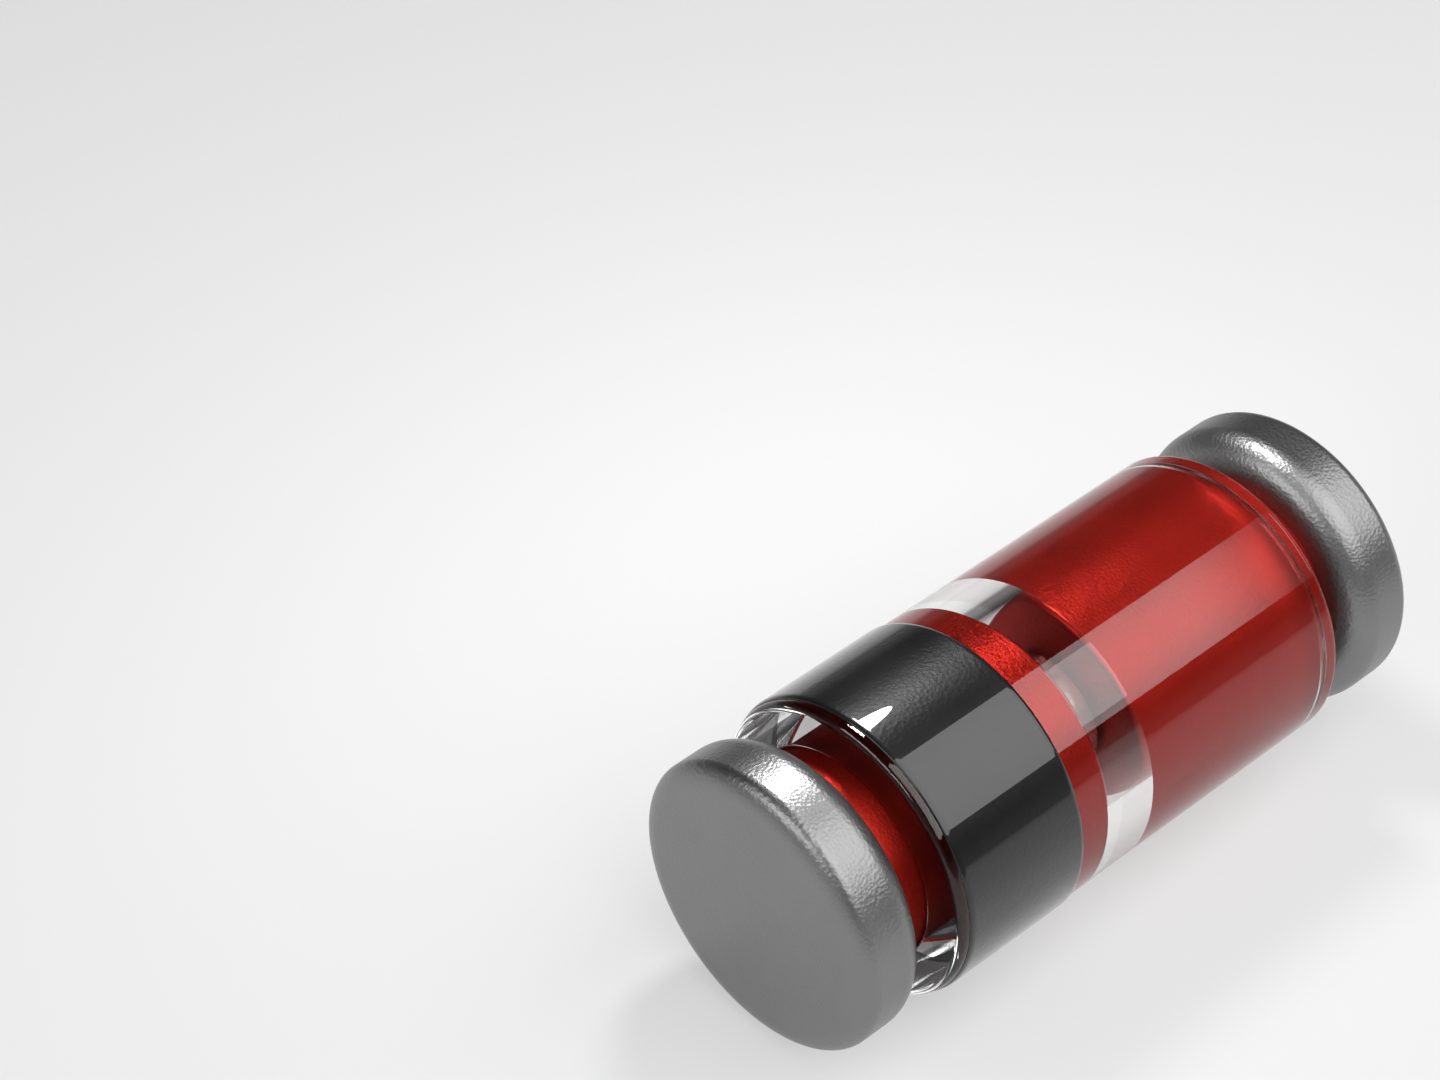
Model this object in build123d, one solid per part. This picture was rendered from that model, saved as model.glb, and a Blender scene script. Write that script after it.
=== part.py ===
from build123d import *
import os

# A leadless glass diode for surface mounting. Two metal studs, coated in red oxide, are sealed into the
# ends of a glass tube and press on a round silvered die between them. A plated disc closes each end and is
# the terminal that is soldered to the board. Every piece is round, and all share one axis.
#
# Lengths are in millimetres. X runs along the axis, from the cathode end to the anode end, and Z is up.
# The origin is on the board, under the middle of the body.

# Overall length, over the outer faces of the two end caps
overall_length = 3.62

# End caps: a disc with a tight round at its outer face and a full, soft round at its back
cap_diameter = 1.46
cap_thickness = 0.38
cap_face_round_depth = 0.083
cap_face_round_width = 0.118
cap_back_round_depth = 0.154
cap_back_round_width = 0.17

# Studs: slugs of coated wire, the anode's slug fills what the cathode's slug and the die leave
stud_diameter = 1.05
cathode_stud_length = 1.23
stud_edge_round = 0.025

# Die: a round pellet with a raised contact on each flat side
die_diameter = 0.60
die_thickness = 0.25
die_edge_round = 0.02
contact_diameter = 0.50
contact_height = 0.02

# Glass tube: sealed on to the studs, cut square at both ends, with edges that the flame has softened. Each
# stud shows bare between the glass and the cap
glass_wall = 0.22
glass_end_round = 0.04
glass_mouth_round = 0.02
exposed_neck = 0.17

# Cathode band: a printed ring that begins just inside the softened edge of the glass
band_offset = 0.05
band_width = 0.72
band_thickness = 0.012

# The most of a wall that the rounds on its two edges may take together
largest_round_share = 0.96

# Sizes that follow from the ones above
cap_radius = cap_diameter / 2
stud_radius = stud_diameter / 2
die_radius = die_diameter / 2
contact_radius = contact_diameter / 2
glass_radius = stud_radius + glass_wall
band_radius = glass_radius + band_thickness
axis_height = max(band_radius, cap_radius)

cathode_face = -overall_length / 2
cathode_stud_start = cathode_face + cap_thickness
cathode_stud_end = cathode_stud_start + cathode_stud_length
anode_stud_start = cathode_stud_end + die_thickness
anode_stud_end = overall_length / 2 - cap_thickness
anode_stud_length = anode_stud_end - anode_stud_start
glass_start = cathode_stud_start + exposed_neck
glass_length = overall_length - 2 * cap_thickness - 2 * exposed_neck
band_start = glass_start + band_offset


def turned(profile):
    """Solid swept by a flat profile, drawn with X along the axis and Y as the radius, about the axis."""
    return revolve(profile, axis=Axis.X)


def placed(solid, start):
    """The solid moved so that its own x = 0 lies at start, with its axis above the board."""
    return Pos(start, 0, axis_height) * solid


def end_cap():
    """Disc from its outer face at x = 0 to its flat back, with an elliptical round on each edge."""
    face_centre = (cap_face_round_depth, cap_radius - cap_face_round_width)
    back_centre = (cap_thickness - cap_back_round_depth, cap_radius - cap_back_round_width)
    with BuildSketch() as profile:
        with BuildLine():
            Line((0, 0), (0, face_centre[1]))
            EllipticalCenterArc(face_centre, cap_face_round_depth, cap_face_round_width, 90, arc_size=90)
            Line((face_centre[0], cap_radius), (back_centre[0], cap_radius))
            EllipticalCenterArc(back_centre, cap_back_round_depth, cap_back_round_width, 0, arc_size=90)
            Line((cap_thickness, back_centre[1]), (cap_thickness, 0))
            Line((cap_thickness, 0), (0, 0))
        make_face()
    return turned(profile.sketch)


def stud(length):
    """Slug from its welded end at x = 0 to its rounded inner end, which faces the die."""
    slug = Pos(length / 2, stud_radius / 2) * Rectangle(length, stud_radius)
    inner_rim = slug.vertices().group_by(Axis.X)[-1].sort_by(Axis.Y)[-1]
    return turned(fillet(inner_rim, stud_edge_round))


def glass_tube():
    """Tube from x = 0 to its length. Each end has a round at its outer edge and a smaller one at the bore."""
    rounds = glass_end_round + glass_mouth_round
    share = min(1, largest_round_share * glass_wall / rounds)
    outer = glass_end_round * share
    mouth = glass_mouth_round * share
    wall = Pos(glass_length / 2, stud_radius + glass_wall / 2) * Rectangle(glass_length, glass_wall)
    wall = fillet(wall.vertices().group_by(Axis.Y)[-1], outer)
    wall = fillet(wall.vertices().group_by(Axis.Y)[0], mouth)
    return turned(wall)


def cathode_band(glass):
    """Printed ring that lies on the glass all the way, so its inner face is the glass itself."""
    depth = glass_wall / 2
    section = Pos(band_width / 2, band_radius - depth / 2) * Rectangle(band_width, depth)
    return placed(turned(section), band_start) - glass


def die():
    """Pellet from x = 0 to its thickness, with a round body between two raised contacts."""
    body_start = contact_height
    body_end = die_thickness - contact_height
    body = Pos((body_start + body_end) / 2, die_radius / 2) * Rectangle(body_end - body_start, die_radius)
    body = fillet(body.vertices().group_by(Axis.Y)[-1], die_edge_round)
    contacts = Pos(die_thickness / 2, contact_radius / 2) * Rectangle(die_thickness, contact_radius)
    return turned(body + contacts)


glass = placed(glass_tube(), glass_start)
cathode_cap = placed(end_cap(), cathode_face)

nodes = {
    "glass_tube": glass,
    "cathode_band": cathode_band(glass),
    "cathode_end_cap": cathode_cap,
    "anode_end_cap": mirror(cathode_cap, about=Plane.YZ),
    "cathode_stud": placed(stud(cathode_stud_length), cathode_stud_start),
    "anode_stud": mirror(placed(stud(anode_stud_length), -anode_stud_end), about=Plane.YZ),
    "diode_die": placed(die(), cathode_stud_end),
}

os.makedirs("parts", exist_ok=True)
for node, solid in nodes.items():
    export_step(solid, f"parts/{node}.step")
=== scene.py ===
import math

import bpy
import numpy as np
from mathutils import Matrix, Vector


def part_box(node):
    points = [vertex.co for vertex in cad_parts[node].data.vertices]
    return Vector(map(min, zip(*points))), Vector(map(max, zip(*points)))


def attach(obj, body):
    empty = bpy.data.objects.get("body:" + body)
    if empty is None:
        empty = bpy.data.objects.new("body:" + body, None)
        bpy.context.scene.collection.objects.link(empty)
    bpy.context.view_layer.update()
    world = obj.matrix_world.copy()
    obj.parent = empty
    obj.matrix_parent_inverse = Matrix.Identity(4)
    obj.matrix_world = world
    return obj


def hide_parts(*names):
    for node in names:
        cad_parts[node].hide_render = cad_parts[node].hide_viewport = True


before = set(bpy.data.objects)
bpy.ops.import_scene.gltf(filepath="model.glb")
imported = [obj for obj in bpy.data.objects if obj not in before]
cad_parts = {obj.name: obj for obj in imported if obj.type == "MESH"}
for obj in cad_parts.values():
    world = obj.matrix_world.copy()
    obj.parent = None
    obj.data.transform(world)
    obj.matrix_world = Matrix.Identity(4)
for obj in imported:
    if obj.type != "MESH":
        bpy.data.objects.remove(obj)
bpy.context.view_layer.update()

# %% [markdown]
# # A glass diode, dressed for its portrait
# This small part is a glass tube with two coated metal studs sealed into it, a silvered die held between
# them, a printed band that marks the cathode and a plated disc on each end. The CAD frame has just been
# loaded, and it holds each of those pieces as a solid. In this lesson every piece gets a finer surface and
# its real finish. The frame stays where it is, and each new piece is worked out from the same sizes.

MM = 0.001

# %% [markdown]
# ## Where things are
# The sizes are those of the drawing, in millimetres. X runs along the axis from the cathode end to the
# anode end, and the part lies on the board, so its axis is as high as its widest radius. Each size has a
# name, so that pieces that meet can share it.

# %% Sizes along the axis and across it
cathode_face = -1.81
cap_thickness, cap_radius = 0.38, 0.73
face_round = (0.083, 0.118)
back_round = (0.154, 0.17)
stud_radius, stud_edge = 0.525, 0.025
cathode_stud_start, cathode_stud_end = -1.43, -0.20
anode_stud_start, anode_stud_end = 0.05, 1.43
die_radius, die_edge = 0.30, 0.02
contact_radius, contact_height = 0.25, 0.02
glass_start, glass_radius = -1.26, 0.745
glass_round, mouth_round = 0.04, 0.02
band_start, band_end, band_radius = -1.21, -0.49, 0.757
axis_height = 0.757

for node in sorted(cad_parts):
    low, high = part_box(node)
    print(f"{node}: x {low.x / MM:.3f} to {high.x / MM:.3f} mm, {(high.y - low.y) / MM:.3f} mm across")

# %% [markdown]
# ## A profile and the lathe
# Every piece of this diode is round, so each one is a profile carried round the axis, as on a lathe. A
# profile is a table with one row for each point: how far along the axis, how far from it, and which way
# the surface faces there. Writing the direction down as well keeps a round as smooth in the glass as the
# formula has it, which matters because glass magnifies every facet.


# %% Straight runs and rounds of a profile
def straight(start, end, points):
    """Rows (x, r, face x, face r) evenly spaced on the line from start to end. The surface faces to the
    left of the way the line runs, so a profile that is drawn from left to right faces away from the axis."""
    t = np.linspace(0, 1, points)[:, None]
    line = np.array(start) * (1 - t) + np.array(end) * t
    along = np.subtract(end, start) / np.linalg.norm(np.subtract(end, start))
    return np.hstack([line, np.tile([-along[1], along[0]], (points, 1))])


def rounded(centre, size, start, end, points):
    """Rows on a quarter of an ellipse, from one angle in degrees to another: centre plus size times
    (cosine, sine) of the angle. The surface faces along (cosine / size x, sine / size r)."""
    angle = np.radians(np.linspace(start, end, points))
    across = np.column_stack([np.cos(angle), np.sin(angle)])
    face = across / np.array(size)
    face /= np.linalg.norm(face, axis=1, keepdims=True)
    return np.hstack([np.array(centre) + across * np.array(size), face])


large_round, small_round, fine_edge = 25, 13, 9   # points on a quarter round
quarter = rounded((0, 0), (0.2, 0.1), 180, 90, large_round)
print("a quarter round has", len(quarter), "points and ends facing", quarter[-1, 2:].round(3))


# %% The rings of points
around = 256          # points in one ring
same_place = 1e-9     # mm, two points of a profile that are nearer than this are one
print("a ring has", around, "points, one every", 360 / around, "degrees")


def rings_of(x, r, angle):
    """All points, the number of each row's first point, and the rows that a run starts from. A row (x, r)
    goes to (x, r cos a, height + r sin a) for each angle a. Rows that fall together share a ring, and a row
    on the axis is one pole."""
    apart = np.hypot(np.diff(x), np.diff(r)) > same_place
    own_ring = np.append(True, apart)
    looped = math.hypot(x[0] - x[-1], r[0] - r[-1]) < same_place
    if looped:
        own_ring[-1] = False
    size = np.where(r > 0, around, 1)
    begin = np.cumsum(np.where(own_ring, size, 0)) - size
    begin = begin[np.maximum.accumulate(np.where(own_ring, np.arange(len(x)), 0))]
    if looped:
        begin[-1] = 0
    rings = [
        np.column_stack([np.full(n, a), b * np.cos(angle[:n]), b * np.sin(angle[:n])])
        for a, b, n in zip(x[own_ring], r[own_ring], size[own_ring])
    ]
    return np.vstack(rings) * MM + [0, 0, axis_height * MM], begin, np.flatnonzero(apart)


# %% The lathe
def turned(name, profile):
    """Closed surface of a profile carried round the axis. Each run between two rows of the profile gives
    four-sided faces, or three-sided ones where it meets the axis. A corner faces (face x, face r cos a,
    face r sin a)."""
    x, r = profile[:, 0], np.where(profile[:, 1] < same_place, 0, profile[:, 1])
    angle = np.arange(around) * 2 * math.pi / around
    points, begin, runs = rings_of(x, r, angle)
    here, after = np.arange(around), (np.arange(around) + 1) % around
    quads, triangles, quad_facing, triangle_facing = [], [], [], []
    for k in runs:
        rows, turns = [k, k, k + 1, k + 1], [here, after, after, here]
        if r[k] == 0:
            rows, turns = [k, k + 1, k + 1], [here, after, here]
        elif r[k + 1] == 0:
            rows, turns = [k, k, k + 1], [here, after, here]
        corners = [begin[i] + (t if r[i] > 0 else 0 * t) for i, t in zip(rows, turns)]
        facing = [
            np.column_stack([np.full(around, face_x), face_r * np.cos(angle[t]), face_r * np.sin(angle[t])])
            for (face_x, face_r), t in zip(profile[rows, 2:], turns)
        ]
        (quads if len(rows) == 4 else triangles).append(np.column_stack(corners))
        (quad_facing if len(rows) == 4 else triangle_facing).append(np.stack(facing, 1).reshape(-1, 3))
    mesh = bpy.data.meshes.new(name)
    mesh.from_pydata(points, [], [f for block in quads + triangles for f in block.tolist()])
    mesh.shade_smooth()
    mesh.normals_split_custom_set(np.vstack(quad_facing + triangle_facing))
    piece = bpy.data.objects.new(name, mesh)
    bpy.context.scene.collection.objects.link(piece)
    print(f"{name}: {len(points)} points, {len(mesh.polygons)} faces")
    return piece


def mirrored(profile):
    """The same profile for the other end: x changes sign, and so does the way the surface faces along x.
    The rows are turned about, so that it is still drawn from left to right."""
    return (profile * [-1, 1, -1, 1])[::-1]


# %% [markdown]
# ## End caps
# The real disc is pressed from sheet, with a tight round at its outer face and a fuller, softer one at its
# back. A bevelled cylinder would give both edges the same circular round. Quarter ellipses are used here,
# because the bright line at the face and the broad shine on the shoulder show that they differ. The number
# that ends each run, here and below, is how many points it gets.

# %% The two end caps
cap_back = cathode_face + cap_thickness
face_flat = cap_radius - face_round[1]
back_flat = cap_radius - back_round[1]
cap_profile = np.vstack([
    straight((cathode_face, 0), (cathode_face, face_flat), 12),
    rounded((cathode_face + face_round[0], face_flat), face_round, 180, 90, large_round),
    straight((cathode_face + face_round[0], cap_radius), (cap_back - back_round[0], cap_radius), 6),
    rounded((cap_back - back_round[0], back_flat), back_round, 90, 0, large_round),
    straight((cap_back, back_flat), (cap_back, 0), 8),
])
cathode_cap = turned("plated_cap_cathode", cap_profile)
anode_cap = turned("plated_cap_anode", mirrored(cap_profile))

# %% [markdown]
# ## Studs
# A stud is a slug of wire with a coat of red oxide. It is plain apart from the small round at the rim that
# looks at the die. A cylinder with a bevel would do as well, but the lathe is there already and writes down
# which way the rim faces.


# %% The two studs
def stud_profile(start, end):
    """Left to right: the welded end, the barrel, the rounded rim and the flat that faces the die."""
    return np.vstack([
        straight((start, 0), (start, stud_radius), 6),
        straight((start, stud_radius), (end - stud_edge, stud_radius), 24),
        rounded((end - stud_edge, stud_radius - stud_edge), (stud_edge, stud_edge), 90, 0, small_round),
        straight((end, stud_radius - stud_edge), (end, 0), 12),
    ])


cathode_stud = turned("red_stud_cathode", stud_profile(cathode_stud_start, cathode_stud_end))
anode_stud = turned("red_stud_anode", mirrored(stud_profile(-anode_stud_end, -anode_stud_start)))

# %% [markdown]
# ## Die
# Between the studs sits a round pellet with a raised silver contact on each side. It is seen only through
# the glass, so a plain disc might pass, but the light catches its rim, and the rounds there give it an edge.

# %% The die between the studs
die_start, die_end = cathode_stud_end + contact_height, anode_stud_start - contact_height
rim_radius = die_radius - die_edge
pellet = turned("silvered_die", np.vstack([
    straight((cathode_stud_end, 0), (cathode_stud_end, contact_radius), 6),
    straight((cathode_stud_end, contact_radius), (die_start, contact_radius), 3),
    straight((die_start, contact_radius), (die_start, rim_radius), 3),
    rounded((die_start + die_edge, rim_radius), (die_edge, die_edge), 180, 90, fine_edge),
    straight((die_start + die_edge, die_radius), (die_end - die_edge, die_radius), 6),
    rounded((die_end - die_edge, rim_radius), (die_edge, die_edge), 90, 0, fine_edge),
    straight((die_end, rim_radius), (die_end, contact_radius), 3),
    straight((die_end, contact_radius), (anode_stud_start, contact_radius), 3),
    straight((anode_stud_start, contact_radius), (anode_stud_start, 0), 6),
]))

# %% [markdown]
# ## Glass tube
# The glass is fused on to both studs, so nothing lies between the red coat and the glass, and the coat
# looks as wide as the tube. Two surfaces in one place would flicker, so the bore is drawn a hair inside
# the studs, and only round the die does it stand free. The tube is cut square, and the flame has softened
# the edges of the cut.

# %% The glass tube
seal_depth = 0.004
sealed_radius = stud_radius - seal_depth
round_start = glass_start + glass_round
mouth_centre = (glass_start + mouth_round, stud_radius + mouth_round)


def glass_half(rim):
    """From the middle to the left: the free bore as far as the stud's rim, the seal along the stud, the
    round at the mouth, the flat end, the round at the outer edge and the straight wall back to the middle."""
    return np.vstack([
        straight((0, stud_radius), (rim, stud_radius), 4),
        straight((rim, stud_radius), (rim, sealed_radius), 2),
        straight((rim, sealed_radius), (mouth_centre[0], sealed_radius), 8),
        straight((mouth_centre[0], sealed_radius), (mouth_centre[0], stud_radius), 2),
        rounded(mouth_centre, (mouth_round, mouth_round), 270, 180, small_round),
        straight((glass_start, mouth_centre[1]), (glass_start, glass_radius - glass_round), 4),
        rounded((round_start, glass_radius - glass_round), (glass_round, glass_round), 180, 90, large_round),
        straight((round_start, glass_radius), (0, glass_radius), 12),
    ])


tube = turned("clear_glass_tube", np.vstack([
    glass_half(cathode_stud_end - stud_edge),
    mirrored(glass_half(-anode_stud_start - stud_edge)),
]))

# %% [markdown]
# ## Cathode band
# The band is a ring of black ink, rolled on to the glass and fired. Surface tension leaves its two edges
# thin and rounded. It could be painted on the glass by a mask, but a ring of its own has a real edge. Its
# inner side lies a hair inside the glass, for the same reason as the bore.

# %% The printed band
ink_edge = (0.03, band_radius - glass_radius)
ink_inner = glass_radius - seal_depth
band = turned("black_band", np.vstack([
    straight((band_start, ink_inner), (band_start, glass_radius), 2),
    rounded((band_start + ink_edge[0], glass_radius), ink_edge, 180, 90, fine_edge),
    straight((band_start + ink_edge[0], band_radius), (band_end - ink_edge[0], band_radius), 12),
    rounded((band_end - ink_edge[0], glass_radius), ink_edge, 90, 0, fine_edge),
    straight((band_end, glass_radius), (band_end, ink_inner), 2),
    straight((band_end, ink_inner), (band_start, ink_inner), 12),
]))

# %% [markdown]
# ## Grain
# Plated, oxidised and printed surfaces all have a fine grain, and each is slightly uneven over larger
# patches. Noise could make both, but it has no edges, and grains lie side by side. So a pattern of rounded
# cells makes the grain, and soft clouds make the patches. Both are read in the piece's own space. One node
# group holds them, and each finish gives it its own sizes.


# %% The grain group
def new_group(name, inputs, outputs):
    """An empty shader node group with named number inputs and outputs."""
    group = bpy.data.node_groups.new(name, "ShaderNodeTree")
    for label, value in inputs.items():
        group.interface.new_socket(label, in_out="INPUT", socket_type="NodeSocketFloat").default_value = value
    for label in outputs:
        group.interface.new_socket(label, in_out="OUTPUT", socket_type="NodeSocketFloat")
    return group, group.nodes.new("NodeGroupInput"), group.nodes.new("NodeGroupOutput")


grain_group, given, made = new_group("Fine grain", {"Grains per metre": 40000, "Patches per metre": 2500},
                                     ["Grain", "Patches"])
place = grain_group.nodes.new("ShaderNodeTexCoord")
cells = grain_group.nodes.new("ShaderNodeTexVoronoi")
cells.feature = "SMOOTH_F1"
cells.inputs["Smoothness"].default_value = 0.5
grain_group.links.new(place.outputs["Object"], cells.inputs["Vector"])
grain_group.links.new(given.outputs["Grains per metre"], cells.inputs["Scale"])
grain_group.links.new(cells.outputs["Distance"], made.inputs["Grain"])
clouds = grain_group.nodes.new("ShaderNodeTexNoise")
clouds.inputs["Detail"].default_value = 4.0
grain_group.links.new(place.outputs["Object"], clouds.inputs["Vector"])
grain_group.links.new(given.outputs["Patches per metre"], clouds.inputs["Scale"])
grain_group.links.new(clouds.outputs["Fac"], made.inputs["Patches"])
print("group", grain_group.name, "puts out", [s.name for s in made.inputs if s.name])

# %% [markdown]
# ## Finishes
# Each finish is one Principled shader. The patches shift its colour and its roughness a little, and the
# grain lifts its surface through a Bump node, so that the edge of a highlight breaks up as it does on real
# plating. Plain numbers are set on the shader's own sockets.


# %% A material and its plain sockets
def new_material(name):
    """A material, its node tree and its Principled shader."""
    material = bpy.data.materials.new(name)
    material.use_nodes = True
    return material, material.node_tree, material.node_tree.nodes["Principled BSDF"]


def set_plain(node, **plain):
    """Set numbers and colours on a node's own sockets. An underscore in a name stands for a space."""
    for socket, value in plain.items():
        node.inputs[socket.replace("_", " ")].default_value = value


# %% A finish with grain
patch_range = (0.3, 0.7)      # values of the clouds over which the roughness is spread


def finish_of(name, dark, light, rough, grains, patches, bump_height, **plain):
    """Material whose colour goes from dark to light, and whose roughness goes between the two values of
    rough, both with the patches. The grain lifts it by bump_height, in metres. plain sets other sockets."""
    material, tree, shader = new_material(name)
    nodes, links = tree.nodes, tree.links
    grain = nodes.new("ShaderNodeGroup")
    grain.node_tree = grain_group
    set_plain(grain, Grains_per_metre=grains, Patches_per_metre=patches)
    colour = nodes.new("ShaderNodeMix")
    colour.data_type = "RGBA"
    colour.inputs["A"].default_value, colour.inputs["B"].default_value = (*dark, 1), (*light, 1)
    links.new(grain.outputs["Patches"], colour.inputs["Factor"])
    links.new(colour.outputs["Result"], shader.inputs["Base Color"])
    roughness = nodes.new("ShaderNodeMapRange")
    set_plain(roughness, From_Min=patch_range[0], From_Max=patch_range[1], To_Min=rough[0], To_Max=rough[1])
    links.new(grain.outputs["Patches"], roughness.inputs["Value"])
    links.new(roughness.outputs["Result"], shader.inputs["Roughness"])
    bump = nodes.new("ShaderNodeBump")
    set_plain(bump, Strength=1.0, Distance=bump_height)
    links.new(grain.outputs["Grain"], bump.inputs["Height"])
    links.new(bump.outputs["Normal"], shader.inputs["Normal"])
    set_plain(shader, **plain)
    print("finish", name)
    return material


# %% The four finishes with grain
plating = finish_of("Satin tin plating", dark=(0.22, 0.22, 0.222), light=(0.27, 0.27, 0.273),
                    rough=(0.37, 0.41), grains=62000, patches=2600, bump_height=1.5e-6, Metallic=1.0)
red_oxide = finish_of("Red oxide coat", dark=(0.34, 0.012, 0.007), light=(0.44, 0.019, 0.011),
                      rough=(0.37, 0.42), grains=60000, patches=3000, bump_height=1.0e-6,
                      Metallic=0.75, Specular_IOR_Level=0.1)
silver = finish_of("Silvered contact", dark=(0.62, 0.61, 0.59), light=(0.78, 0.77, 0.75),
                   rough=(0.20, 0.30), grains=30000, patches=4000, bump_height=1.0e-6, Metallic=1.0)
ink = finish_of("Black fired ink", dark=(0.003, 0.003, 0.0035), light=(0.006, 0.006, 0.007),
                rough=(0.34, 0.42), grains=50000, patches=3000, bump_height=0.9e-6,
                Coat_Weight=1.0, Coat_Roughness=0.0, Specular_IOR_Level=0.2)

# %% [markdown]
# ## Glass
# Clear glass is one Principled shader with full transmission. The flame leaves its surface smooth, so it
# has no roughness and no grain, and its colour has only a trace of green.

# %% The glass finish
glass, _, shader = new_material("Flame polished glass")
set_plain(shader, Base_Color=(0.985, 0.99, 0.985, 1), Metallic=0.0, Transmission_Weight=1.0,
          Roughness=0.0, IOR=1.52)
print("finish", glass.name)

# %% [markdown]
# ## Dressing the frame
# Each new piece takes the place of its CAD node and rides on the one body of this part. Each row also lists
# the name of a slot for its finish, which the loop does not use.

# %% Each piece takes its node's place
dressed = [
    (cathode_cap, "cathode_end_cap", "plating", plating),
    (anode_cap, "anode_end_cap", "plating", plating),
    (cathode_stud, "cathode_stud", "red_oxide", red_oxide),
    (anode_stud, "anode_stud", "red_oxide", red_oxide),
    (pellet, "diode_die", "silvered_die", silver),
    (tube, "glass_tube", "glass", glass),
    (band, "cathode_band", "band_ink", ink),
]
for piece, node, slot, finish in dressed:
    piece.data.materials.append(finish)
    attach(piece, "root")
    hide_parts(node)
    print(piece.name, "stands for", node)

# %% [markdown]
# ## Floor
# The floor is one plain sheet. It lies a hair under the part, so that the two don't touch in one plane.

# %% The floor's sheet
floor_half = 0.2
floor_drop = 2e-6
floor_mesh = bpy.data.meshes.new("floor")
floor_mesh.from_pydata([(-floor_half, -floor_half, 0), (floor_half, -floor_half, 0),
                        (floor_half, floor_half, 0), (-floor_half, floor_half, 0)], [], [(0, 1, 2, 3)])
floor = bpy.data.objects.new("floor", floor_mesh)
bpy.context.scene.collection.objects.link(floor)
floor.location.z = -floor_drop
print("floor", 2 * floor_half / MM, "mm square")

# %% [markdown]
# The floor could be made white by more light, but that light would fall on the part too. Instead its own
# colour is modest, and the camera, metal and glass see it lifted towards white, with the part's soft shadow
# still on it. The lift is full round the part and fades with distance.


# %% Two helpers for nodes
def smooth_fade(tree, value, run, levels):
    """Output that goes smoothly from levels[0] to levels[1] as value goes from run[0] to run[1]."""
    fade = tree.nodes.new("ShaderNodeMapRange")
    fade.interpolation_type = "SMOOTHSTEP"
    set_plain(fade, From_Min=run[0], From_Max=run[1], To_Min=levels[0], To_Max=levels[1])
    tree.links.new(value, fade.inputs["Value"])
    return fade.outputs["Result"]


def combined(tree, operation, first, second):
    """Output of one Math node on two outputs."""
    maths = tree.nodes.new("ShaderNodeMath")
    maths.operation = operation
    tree.links.new(first, maths.inputs[0])
    tree.links.new(second, maths.inputs[1])
    return maths.outputs[0]


# %% The floor's finish
floor_colour = 0.32
lift_reach = (0.006, 0.030)     # metres from the floor's middle over which the lift fades
lift_levels = (0.48, 0.16)
pale, pale_tree, shader = new_material("Pale floor")
set_plain(shader, Base_Color=(floor_colour, floor_colour, floor_colour, 1), Roughness=1.0,
          Specular_IOR_Level=0.0, Emission_Color=(1, 1, 1, 1))
path = pale_tree.nodes.new("ShaderNodeLightPath")
seen = combined(pale_tree, "MAXIMUM", path.outputs["Is Camera Ray"], path.outputs["Is Glossy Ray"])
seen = combined(pale_tree, "MAXIMUM", seen, path.outputs["Is Transmission Ray"])
spot = pale_tree.nodes.new("ShaderNodeTexCoord")
distance = pale_tree.nodes.new("ShaderNodeVectorMath")
distance.operation = "LENGTH"
pale_tree.links.new(spot.outputs["Object"], distance.inputs[0])
fall = smooth_fade(pale_tree, distance.outputs["Value"], lift_reach, lift_levels)
pale_tree.links.new(combined(pale_tree, "MULTIPLY", seen, fall), shader.inputs["Emission Strength"])
floor_mesh.materials.append(pale)
print("finish", pale.name, "is lifted by", lift_levels)

# %% [markdown]
# ## Light
# A part this small is lit by very small soft boxes. A round one close above it draws the short, bright
# highlights on the caps. A wide one beyond the cathode end lights that cap's face, and stands high enough
# to leave no hard line on the floor. Each is an area lamp, and it is easier to plan by how bright its face
# looks than by watts: the power is pi times the area times that brightness.


# %% Soft boxes
def soft_box(name, at, aim, width, height, brightness, up=(1, 0, 0), shape="RECTANGLE"):
    """Lamp at a place in mm, facing aim. Power is pi x area x the brightness of its face."""
    data = bpy.data.lights.new(name, "AREA")
    data.shape = shape
    data.size, data.size_y = width * MM, height * MM
    area = data.size * data.size_y * (math.pi / 4 if shape == "ELLIPSE" else 1)
    data.energy = math.pi * area * brightness
    lamp = bpy.data.objects.new(name, data)
    bpy.context.scene.collection.objects.link(lamp)
    lamp.location = Vector(at) * MM
    back = (Vector(at) - Vector(aim)).normalized()
    side = Vector(up).cross(back).normalized()
    across = back.cross(side)
    lamp.rotation_mode = "QUATERNION"
    lamp.rotation_quaternion = Matrix((side, across, back)).transposed().to_quaternion()
    lamp.visible_camera = False
    print(f"{name}: {data.energy:.5f} W")


soft_box("key_box", (1.0, 2.25, 5.38), (-0.5, 0, axis_height), width=1.35, height=1.35,
         brightness=46.0, shape="ELLIPSE")
soft_box("front_box", (-38.0, 7.0, 24.0), (0, 0, axis_height), width=40, height=12,
         brightness=4.5, up=(0, 0, 1))

# %% [markdown]
# ## Window cards
# The long pale stripe on the glass is a window-like card mirrored in it. Its ends run straight round the
# tube, which a flat card can't give on a round body, so the card is bent round the part's own axis. Three
# lengths of it, each with its own brightness, lie one after the other along X.

# %% The bend that the three cards share
card_middle, card_spread = 124.2, 28.7     # degrees
card_radius = 39.68
card_steps = 24
print("a card spans", 2 * card_spread, "degrees at", card_radius, "mm from the axis")


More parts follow.
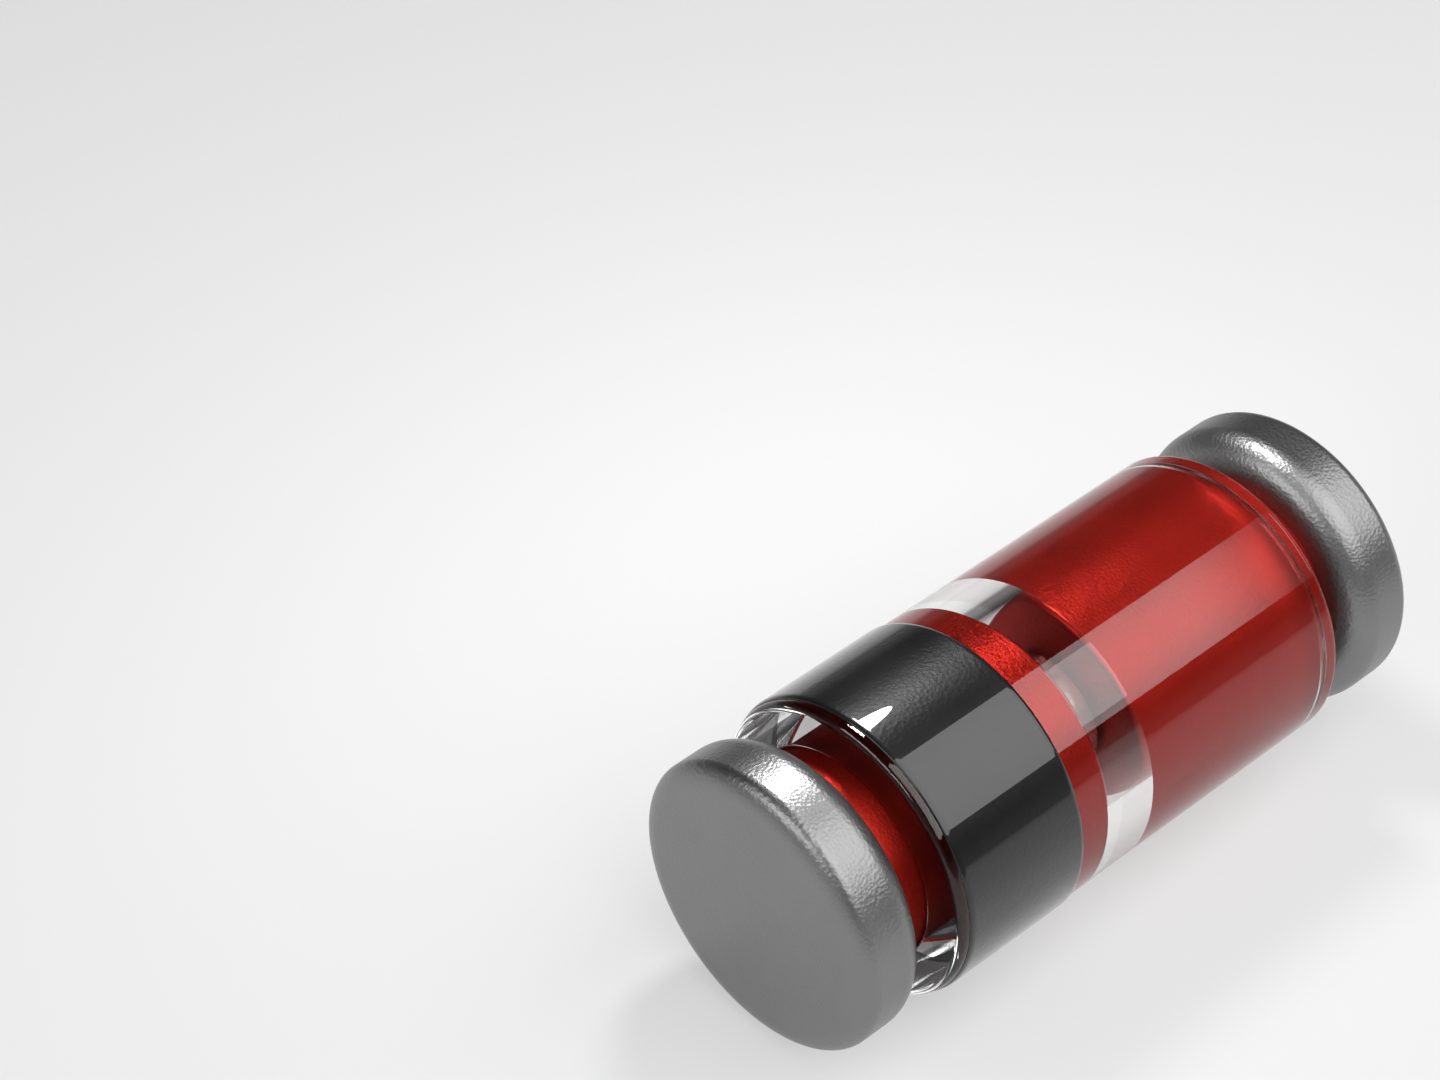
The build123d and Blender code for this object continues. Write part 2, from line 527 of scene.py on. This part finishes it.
# %% A bent card
def bent_card(name, start, end, soft_end, brightness):
    """Glowing sheet on a cylinder round the axis: (x, radius cos a, height + radius sin a), with a up to
    card_spread degrees to either side of card_middle and x between start and end in mm. It fades out over
    its last soft_end mm."""
    a = np.radians(np.linspace(card_middle - card_spread, card_middle + card_spread, card_steps + 1))
    ring = np.column_stack([np.zeros(len(a)), card_radius * np.cos(a), axis_height + card_radius * np.sin(a)])
    points = np.vstack([ring + [start, 0, 0], ring + [end, 0, 0]]) * MM
    k = np.arange(card_steps)
    other = k + card_steps + 1
    mesh = bpy.data.meshes.new(name)
    mesh.from_pydata(points, [], np.column_stack([k, other, other + 1, k + 1]).tolist())
    glow, tree, shader = new_material(name)
    tree.nodes.remove(shader)
    light = tree.nodes.new("ShaderNodeEmission")
    spot = tree.nodes.new("ShaderNodeTexCoord")
    along = tree.nodes.new("ShaderNodeSeparateXYZ")
    tree.links.new(spot.outputs["Object"], along.inputs[0])
    fade = smooth_fade(tree, along.outputs["X"], ((end - soft_end) * MM, end * MM), (brightness, 0))
    tree.links.new(fade, light.inputs["Strength"])
    tree.links.new(light.outputs[0], tree.nodes["Material Output"].inputs["Surface"])
    mesh.materials.append(glow)
    card = bpy.data.objects.new(name, mesh)
    bpy.context.scene.collection.objects.link(card)
    card.visible_camera = False
    print(name, "runs from", start, "to", end, "mm")


bent_card("window_card", start=20.0, end=32.0, soft_end=3.4, brightness=3.0)
bent_card("window_rest", start=-20.0, end=20.0, soft_end=1.0, brightness=2.8)
bent_card("window_far", start=33.5, end=52.0, soft_end=1.0, brightness=3.2)

# %% [markdown]
# ## Room light
# One even grey would flatten the metal. The room is dim overhead and brighter at the horizon and beyond the
# cathode end, so that the rounds of the caps have something dark and something light to mirror.

# %% The room light
room_levels = (0.20, 0.02)      # bright and dim
low_sky = (0.0, 0.25)           # upward part of the direction over which it dims
cathode_side = (-0.90, -0.40)   # X part of the direction over which it dims
world = bpy.data.worlds.new("room")
bpy.context.scene.world = world
world.use_nodes = True
room_tree = world.node_tree
way = room_tree.nodes.new("ShaderNodeTexCoord")
parts = room_tree.nodes.new("ShaderNodeSeparateXYZ")
room_tree.links.new(way.outputs["Generated"], parts.inputs[0])
horizon = smooth_fade(room_tree, parts.outputs["Z"], low_sky, room_levels)
end_glow = smooth_fade(room_tree, parts.outputs["X"], cathode_side, room_levels)
background = room_tree.nodes["Background"]
room_tree.links.new(combined(room_tree, "MAXIMUM", horizon, end_glow), background.inputs["Strength"])
set_plain(background, Color=(1, 1, 1, 1))
print("room light", world.name, "goes from", room_levels[0], "to", room_levels[1])

# %% [markdown]
# ## Camera
# The camera looks down on the part at about 41 degrees from its cathode end, with a long lens.

# %% The camera
camera_at = Vector((-9.89425, -8.44160, 13.18103))
looks_at = Vector((-0.21655, 1.90873, 0.757))
lens = bpy.data.cameras.new("camera")
lens.sensor_width, lens.lens = 36, 96.986
lens.clip_start, lens.clip_end = 0.0005, 2.0
camera = bpy.data.objects.new("camera", lens)
bpy.context.scene.collection.objects.link(camera)
camera.location = camera_at * MM
camera.rotation_mode = "QUATERNION"
camera.rotation_quaternion = (looks_at - camera_at).to_track_quat("-Z", "Y")
bpy.context.scene.camera = camera
bpy.context.scene.view_settings.view_transform = "Standard"
print("camera", round((looks_at - camera_at).length, 3), "mm from what it looks at")
